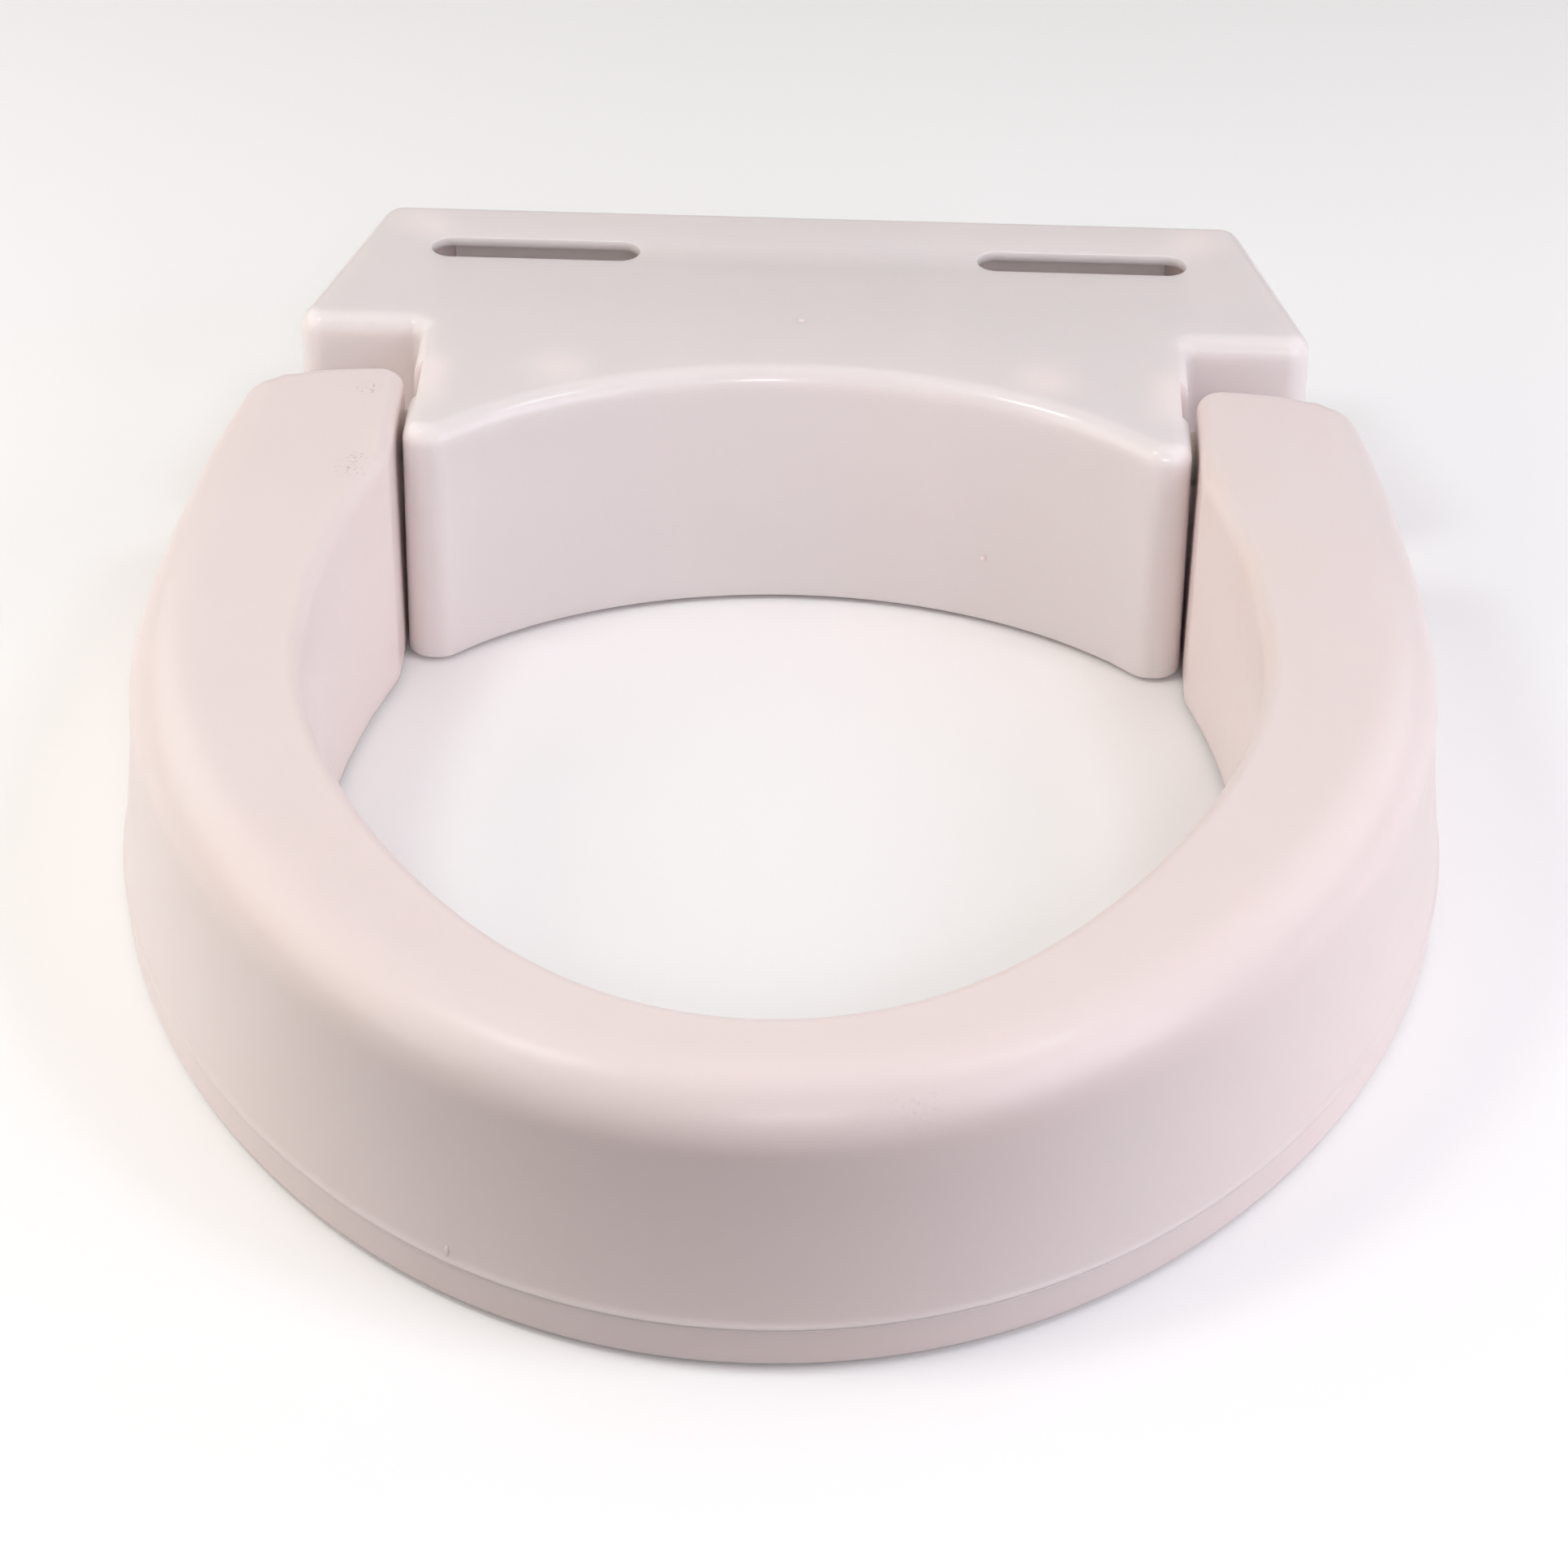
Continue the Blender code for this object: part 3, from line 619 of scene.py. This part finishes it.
def ring_tray():
    """Tray that closes the ring from below, with a rounded lower edge and the band round it."""
    points, zones = ring_outline()
    banded = [zone in OUTSIDE + ("rear",) for zone in zones]
    floor_z = BOTTOM + TRAY_FLOOR
    tuck = WALL + GAP

    def pick(on_band, elsewhere):
        return [on_band if b else elsewhere for b in banded]

    rings = []
    for i in range(BAND_STEPS + 1):
        a = math.pi / 2 * i / BAND_STEPS
        edge = BAND_ROUND * (1 - math.sin(a))
        rise = BAND_ROUND * (1 - math.cos(a))
        shift = pick(BAND_INSET + BAND_TAPER + edge, tuck + edge)
        rings.append(level(inward(points, shift), BOTTOM + rise))
    rings.append(level(inward(points, pick(BAND_INSET, tuck)), pick(SEAM_Z - GAP, floor_z - GAP)))
    rings.append(level(inward(points, pick(BAND_INSET + GAP, tuck + GAP)), pick(SEAM_Z, floor_z)))
    rings.append(level(inward(points, pick(BAND_INSET + WALL, tuck + WALL)), pick(SEAM_Z, floor_z)))
    shift = pick(BAND_INSET + WALL + GAP, tuck + WALL + TRAY_TAPER)
    rings.append(level(inward(points, shift), floor_z))
    tray = lofted("ring_lower_tray", [rings])
    cuts = []
    shank_r = SCREW_R + SHANK_GAP
    for node in named("tray_screw"):
        c = centre_of(node)
        head_r = radius_of(node) + GAP
        head = [(BOTTOM - PAST, head_r), (BOTTOM + HEAD_POCKET, head_r)]
        shank = [(BOTTOM + SHANK_START, shank_r), (floor_z + PAST, shank_r)]
        cuts.append(turned(head, c, steps=BORE_STEPS))
        cuts.append(turned(shank, c, steps=POST_STEPS))
    cuts += [foot_pocket(node) for node in named("ring_foot")]
    combine(tray, cuts, "DIFFERENCE")
    return tray


# Rear base

def base_cavity():
    """The hollow of the base, less its ribs, hinge blocks and foot pillars."""
    points = base_outline(detail=3)
    round_in = BASE_ROUND - WALL
    ceiling = TOP - PLATE
    rings = [level(inward(points, [WALL] * len(points)), BOTTOM - PAST)]
    for i in range(CAVITY_STEPS + 1):
        a = math.pi / 2 * i / CAVITY_STEPS
        shift = WALL + BASE_DRAFT + round_in * (1 - math.cos(a))
        height = ceiling - round_in * (1 - math.sin(a))
        rings.append(level(inward(points, [shift] * len(points)), height))
    cavity = lofted("cavity", [rings])
    rib_low = BOTTOM + RIB_CLEARANCE
    solids = [box((-EAR_HALF, RIB_Y - RIB / 2, rib_low), (EAR_HALF, RIB_Y + RIB / 2, TOP))]
    for side in SIDES:
        x = side * RIB_X
        solids.append(box((x - RIB / 2, 0, rib_low), (x + RIB / 2, BACK_Y + PAST, TOP)))
        block_ys = (NOTCH_Y - BLOCK_HALF, NOTCH_Y + BLOCK_HALF)
        block_xs = (BLOCK_INNER_X, NECK_HALF_REAR + PAST)
        solids.append(side_box(side, block_xs, block_ys, (BOTTOM - 2 * PAST, TOP)))
    pillar = [(BOTTOM - 2 * PAST, PILLAR_R), (TOP, PILLAR_R)]
    for node in named("base_foot"):
        solids.append(turned(pillar, centre_of(node)))
    combine(cavity, solids, "DIFFERENCE")
    return cavity


def slot_rings(side):
    """A slot with round ends and a small rounded lip at the top face."""
    rings = []
    heights = [(TOP - PLATE - PAST, 0.0), (TOP - SLOT_LIP, 0.0)]
    for i in range(1, LIP_STEPS + 1):
        a = math.pi / 2 * i / LIP_STEPS
        heights.append((TOP - SLOT_LIP * (1 - math.sin(a)), SLOT_LIP * (1 - math.cos(a))))
    heights.append((TOP + PAST, SLOT_LIP))
    straight = SLOT_LENGTH / 2 - SLOT_HALF
    for z, grow in heights:
        ring = []
        reach = SLOT_HALF + grow
        for end, start in ((1, -math.pi / 2), (-1, math.pi / 2)):
            middle = side * SLOT_CENTRE_X + end * straight
            for i in range(SLOT_END_STEPS + 1):
                a = start + math.pi * i / SLOT_END_STEPS
                ring.append((middle + reach * math.cos(a), SLOT_Y + reach * math.sin(a), z))
        rings.append(ring)
    return rings


def base_shell():
    """Rear base: a hollow block with ears, a neck and a hollow front wall, open below."""
    points = base_outline(detail=6)
    count = len(points)
    rings = [level(inward(points, [BASE_CHAMFER] * count), BOTTOM)]
    rings.append(level(points, BOTTOM + BASE_CHAMFER))
    for i in range(BASE_STEPS + 1):
        a = math.pi / 2 * i / BASE_STEPS
        shift = BASE_DRAFT + BASE_ROUND * (1 - math.cos(a))
        height = TOP - BASE_ROUND * (1 - math.sin(a))
        rings.append(level(inward(points, [shift] * count), height))
    shell = lofted("base_body", [rings])
    boolean(shell, base_cavity(), "DIFFERENCE", False)
    cuts = []
    notch_xs = (NOTCH_FLOOR_X, NECK_HALF_REAR + PAST)
    notch_ys = (NOTCH_Y - NOTCH_HALF, NOTCH_Y + NOTCH_HALF)
    notch_zs = (AXIS.z - NOTCH_BELOW, TOP + PAST)
    bore_xs = (BLOCK_INNER_X - PAST, NOTCH_FLOOR_X + BORE_PAST)
    for side in SIDES:
        cuts.append(slot_rings(side))
        cuts.append(side_box(side, notch_xs, notch_ys, notch_zs))
        cuts.append(hinge_turned(side, *bore_xs, BUSH_HOLE_R))
    cuts += [foot_pocket(node) for node in named("base_foot")]
    combine(shell, cuts, "DIFFERENCE")
    ease_edges(shell)
    return shell


# Feet and screws

def foot_pocket(node):
    """The shallow round pocket that a foot sits in."""
    radius = radius_of(node) + GAP
    top = edges(node)[1].z + GAP
    return turned([(BOTTOM - PAST, radius), (top, radius)], centre_of(node))


def rubber_foot(node):
    """A rubber disc with a rounded edge and a shallow dish in its underside."""
    low, high = edges(node)
    radius = radius_of(node)
    dish_z = low.z + FOOT_DISH
    profile = [(dish_z, DISH_MIDDLE_R), (dish_z, radius * DISH_FLAT), (low.z, radius * DISH_RIM)]
    for i in range(7):
        a = math.pi / 2 * i / 6
        rise = FOOT_EDGE * (1 - math.cos(a))
        profile.append((low.z + rise, radius - FOOT_EDGE * (1 - math.sin(a))))
    profile.append((high.z, radius))
    return lofted(node + "_rubber", [turned(profile, centre_of(node))])


def cross_screw(node):
    """A pan-head screw with a cross recess and a thread."""
    low, high = edges(node)
    x, y = centre_of(node)
    head_r = radius_of(node)
    profile = []
    for i in range(5, -1, -1):
        a = math.pi / 2 * i / 5
        rise = HEAD_EDGE * (1 - math.sin(a))
        profile.append((low.z + rise, head_r - HEAD_EDGE * (1 - math.cos(a))))
    z = low.z + HEAD_HEIGHT
    profile += [(z, head_r), (z, SCREW_R)]
    while z + THREAD_PITCH < high.z - THREAD_END:
        profile.append((z + THREAD_PITCH / 2, SCREW_R - THREAD_DEPTH))
        profile.append((z + THREAD_PITCH, SCREW_R))
        z += THREAD_PITCH
    profile.append((high.z, SCREW_R / 3))
    screw = lofted(node + "_cross", [turned(profile, (x, y))])
    start_z = low.z - DRIVE_PAST
    end_z = low.z + DRIVE_DEPTH
    recess = []
    for across, along in ((DRIVE_REACH, DRIVE_HALF), (DRIVE_HALF, DRIVE_REACH)):
        recess.append(box((x - across, y - along, start_z), (x + across, y + along, end_z)))
    combine(screw, recess, "DIFFERENCE")
    return screw


# Small moulding marks that stand out of the plastic

MARK_ROWS = 12
MARK_SEGMENTS = 20


def mark(name, place, normal, radius, height, stretch=1.0):
    """A small smooth bump on a surface, sunk into it by its own height."""
    turn = Vector(normal).to_track_quat("Z", "Y").to_matrix().to_4x4()
    stand = Matrix.Translation(place) @ turn
    size = Vector((radius, radius * stretch, height))
    bm = bmesh.new()
    rows = []
    for i in range(1, MARK_ROWS):
        tilt = math.pi * i / MARK_ROWS
        row = []
        for j in range(MARK_SEGMENTS):
            a = 2 * math.pi * j / MARK_SEGMENTS
            way = Vector((math.sin(tilt) * math.cos(a), math.sin(tilt) * math.sin(a), math.cos(tilt)))
            row.append(bm.verts.new(stand @ (way * size)))
        rows.append(row)
    for row, lower in zip(rows, rows[1:]):
        for j in range(MARK_SEGMENTS):
            bm.faces.new((row[j - 1], row[j], lower[j], lower[j - 1]))
    for pole, row in ((height, rows[0]), (-height, rows[-1])):
        tip = bm.verts.new(stand @ Vector((0, 0, pole)))
        for j in range(MARK_SEGMENTS):
            bm.faces.new((tip, row[j - 1], row[j]))
    return to_object(bm, name)


# Materials

class Nodes:
    """Small helper that adds and links shader nodes."""

    def __init__(self, name):
        self.made = bpy.data.materials.new(name)
        self.made.use_nodes = True
        self.tree = self.made.node_tree
        self.shader = self.tree.nodes["Principled BSDF"]
        self.coords = self.tree.nodes.new("ShaderNodeTexCoord").outputs["Object"]

    def add(self, kind, **inputs):
        node = self.tree.nodes.new(kind)
        for key, value in inputs.items():
            self.set(node.inputs[key], value)
        return node

    def noise(self, scale, detail=4.0, roughness=0.5):
        node = self.add("ShaderNodeTexNoise", Vector=self.coords, Scale=scale, Detail=detail)
        node.inputs["Roughness"].default_value = roughness
        return node.outputs["Fac"]

    def ramp(self, value, low, high, start, end):
        node = self.add("ShaderNodeMapRange", Value=value)
        node.inputs["From Min"].default_value = low
        node.inputs["From Max"].default_value = high
        node.inputs["To Min"].default_value = start
        node.inputs["To Max"].default_value = end
        return node.outputs["Result"]

    def set(self, socket, value):
        if isinstance(value, bpy.types.NodeSocket):
            self.tree.links.new(value, socket)
        else:
            socket.default_value = value

    def blend(self, share, first, second):
        node = self.tree.nodes.new("ShaderNodeMix")
        node.data_type = "RGBA"
        for key, value in ((0, share), (6, first), (7, second)):
            self.set(node.inputs[key], value)
        return node.outputs[2]

    def times(self, a, b):
        node = self.tree.nodes.new("ShaderNodeMath")
        node.operation = "MULTIPLY"
        self.set(node.inputs[0], a)
        self.set(node.inputs[1], b)
        return node.outputs[0]

    def near(self, place, radius):
        """1 at a place in the object's own space, given in millimetres, falling to 0 at a radius."""
        node = self.tree.nodes.new("ShaderNodeVectorMath")
        node.operation = "DISTANCE"
        self.tree.links.new(self.coords, node.inputs[0])
        node.inputs[1].default_value = Vector(place) * MM
        return self.ramp(node.outputs["Value"], 0.0, radius * MM, 1.0, 0.0)

    def link(self, output, name):
        self.tree.links.new(output, self.shader.inputs[name])

    def bump(self, layers):
        """Chains bump nodes, each given as (height, distance in millimetres, strength)."""
        normal = None
        for height, distance, strength in layers:
            node = self.add("ShaderNodeBump", Height=height, Distance=distance * MM, Strength=strength)
            if normal is not None:
                self.tree.links.new(normal, node.inputs["Normal"])
            normal = node.outputs["Normal"]
        self.link(normal, "Normal")


def plastic(name, colour, warm, roughness, coat, depth, reach, scuffs=(), tints=()):
    """Moulded white plastic: faint cloudy colour, fine grain, slow waviness, and its own marks.

    depth is how much of it is translucent, and reach how far light travels in it, in millimetres.
    """
    n = Nodes(name)
    cloud = n.ramp(n.noise(9.0, 3.0), 0.35, 0.65, 0.0, 1.0)
    tone = n.blend(cloud, (*colour, 1.0), (*warm, 1.0))
    for place, radius, tint in tints:
        tone = n.blend(n.times(n.near(place, radius), TINT_SHARE), tone, (*tint, 1.0))
    for place, radius, amount in scuffs:
        grit = n.ramp(n.noise(900.0, 3.0, 0.6), 0.56, 0.66, 0.0, amount)
        tone = n.blend(n.times(n.near(place, radius), grit), tone, SCUFF_COLOUR)
    n.link(tone, "Base Color")
    n.link(n.ramp(n.noise(60.0, 5.0), 0.3, 0.7, roughness - 0.04, roughness + 0.05), "Roughness")
    n.shader.inputs["IOR"].default_value = 1.49
    n.shader.inputs["Subsurface Weight"].default_value = depth
    n.shader.inputs["Subsurface Radius"].default_value = (1.0, 0.92, 0.90)
    n.shader.inputs["Subsurface Scale"].default_value = reach * MM
    n.shader.inputs["Coat Weight"].default_value = coat
    n.shader.inputs["Coat Roughness"].default_value = 0.10
    n.bump([(n.noise(1500.0, 2.0), 0.01, 0.12), (n.noise(38.0, 1.0), 0.05, 0.08)])
    return n.made


def nylon(name):
    """Natural nylon, slightly translucent, with fine turning lines."""
    n = Nodes(name)
    tone = n.blend(n.noise(160.0), (0.74, 0.71, 0.65, 1.0), (0.68, 0.65, 0.59, 1.0))
    n.link(tone, "Base Color")
    n.link(n.ramp(n.noise(400.0), 0.3, 0.7, 0.38, 0.5), "Roughness")
    n.shader.inputs["Subsurface Weight"].default_value = 0.15
    n.shader.inputs["Subsurface Scale"].default_value = 0.001
    n.bump([(n.noise(900.0), 0.02, 0.3)])
    return n.made


def steel(name):
    """Plain stainless steel with faint scratches and smudged roughness."""
    n = Nodes(name)
    n.link(n.blend(n.noise(300.0), (0.64, 0.63, 0.61, 1.0), (0.52, 0.51, 0.49, 1.0)), "Base Color")
    n.shader.inputs["Metallic"].default_value = 1.0
    n.link(n.ramp(n.noise(500.0, 6.0), 0.3, 0.7, 0.22, 0.42), "Roughness")
    n.bump([(n.noise(1800.0, 3.0), 0.01, 0.3)])
    return n.made


def rubber(name):
    """Grey rubber with a dusty, slightly uneven surface."""
    n = Nodes(name)
    n.link(n.blend(n.noise(220.0, 5.0), (0.30, 0.29, 0.28, 1.0), (0.38, 0.37, 0.36, 1.0)), "Base Color")
    n.link(n.ramp(n.noise(350.0), 0.3, 0.7, 0.7, 0.9), "Roughness")
    n.bump([(n.noise(1200.0, 3.0), 0.04, 0.4)])
    return n.made


# Stage

def area_light(name, place, size, power, colour):
    """A rectangular lamp aimed at the object."""
    data = bpy.data.lights.new(name, "AREA")
    data.shape = "RECTANGLE"
    data.size, data.size_y = size
    data.energy = power
    data.color = colour
    obj = bpy.data.objects.new(name, data)
    obj.location = place
    aim = Vector(LAMP_AIM) - Vector(place)
    obj.rotation_euler = aim.to_track_quat("-Z", "Y").to_euler()
    bpy.context.scene.collection.objects.link(obj)


def floor_pale_painted_shade(name):
    """Floor that the camera sees pale, painted near-black in front of the object for bounced light
    only: painted shade on the ring's front wall.
    """
    n = Nodes(name)
    pale = n.blend(n.noise(2.0), (0.94, 0.94, 0.94, 1.0), (0.96, 0.96, 0.96, 1.0))
    split = n.add("ShaderNodeSeparateXYZ", Vector=n.coords)
    behind = n.ramp(split.outputs["Y"], BOUNCE_FROM_Y, BOUNCE_TO_Y, 0.0, 1.0)
    # Painted shade: light that bounces off the floor in front of the object takes a near-black colour,
    # while the camera still sees the floor pale.
    painted_shade_bounce = n.blend(behind, (0.06, 0.06, 0.06, 1.0), (0.9, 0.9, 0.9, 1.0))
    seen = n.tree.nodes.new("ShaderNodeLightPath").outputs["Is Camera Ray"]
    n.link(n.blend(seen, painted_shade_bounce, pale), "Base Color")
    n.shader.inputs["Roughness"].default_value = 0.9
    return n.made


def stage():
    """Pale floor, painted near-black in front for bounced light (painted shade), and soft studio light.
    """
    bpy.ops.mesh.primitive_plane_add(size=FLOOR_SIZE, location=(0, 0, FLOOR_Z))
    floor = bpy.context.object
    floor.name = "floor"
    floor.data.materials.append(floor_pale_painted_shade("floor_pale_painted_shade"))
    world = bpy.data.worlds.new("studio")
    bpy.context.scene.world = world
    world.use_nodes = True
    background = world.node_tree.nodes["Background"]
    background.inputs["Color"].default_value = WORLD_COLOUR
    background.inputs["Strength"].default_value = WORLD_STRENGTH
    for lamp in LAMPS:
        area_light(*lamp)


camera()
bpy.context.scene.view_settings.view_transform = "Standard"

ring_white = plastic("ring_white", (0.82, 0.715, 0.70), (0.82, 0.70, 0.675), roughness=0.34,
                     coat=0.0, depth=0.6, reach=5.0, scuffs=RING_SCUFFS, tints=RING_TINTS)
base_white = plastic("base_white", (0.92, 0.80, 0.79), (0.92, 0.785, 0.77), roughness=0.33,
                     coat=0.35, depth=0.7, reach=12.0)
mark_white = plastic("mark_white", (0.84, 0.74, 0.73), (0.82, 0.71, 0.69), roughness=0.34,
                     coat=0.0, depth=0.0, reach=1.0)
nylon_made = nylon("natural_nylon")
steel_made = steel("stainless_steel")
rubber_made = rubber("grey_rubber")

placed(ring_shell(), "ring", "ring_plastic", ring_white, "seat_ring_shell")
placed(ring_tray(), "ring", "ring_plastic", ring_white, "seat_ring_tray")
placed(base_shell(), "base", "base_plastic", base_white, "base_shell")
for node in named("base_foot"):
    placed(rubber_foot(node), "base", "rubber", rubber_made, node)
for node in named("ring_foot"):
    placed(rubber_foot(node), "ring", "rubber", rubber_made, node)
for node in named("tray_screw"):
    placed(cross_screw(node), "ring", "steel", steel_made, node)
for start, made in (("hinge_bush", nylon_made), ("hinge_spacer", nylon_made),
                    ("hinge_pin", steel_made), ("pin_clip", steel_made)):
    for node in named(start):
        frame["nodes"][node].data.materials.clear()
        frame["nodes"][node].data.materials.append(made)

top_mark = mark("base_top_mark", (-0.7, 150.1, TOP), (0, 0, 1), 1.1, 0.6)
wall_mark = mark("base_wall_mark", (54.4, arc_y(54.4), 22.0), (-0.42, -0.9, 0), 0.9, 0.6)
seam_mark = mark("ring_seam_mark", (-73.0, -196.9, 15.2), (-0.34, -0.94, 0.05), 0.6, 0.7, 2.9)
front_mark = mark("ring_front_mark", (13.4, -211.9, 62.3), (0, -0.9, 0.4), 0.6, 0.4)
for piece in (top_mark, wall_mark):
    placed(piece, "base", "base_plastic", mark_white)
for piece in (seam_mark, front_mark):
    placed(piece, "ring", "ring_plastic", mark_white)

stage()
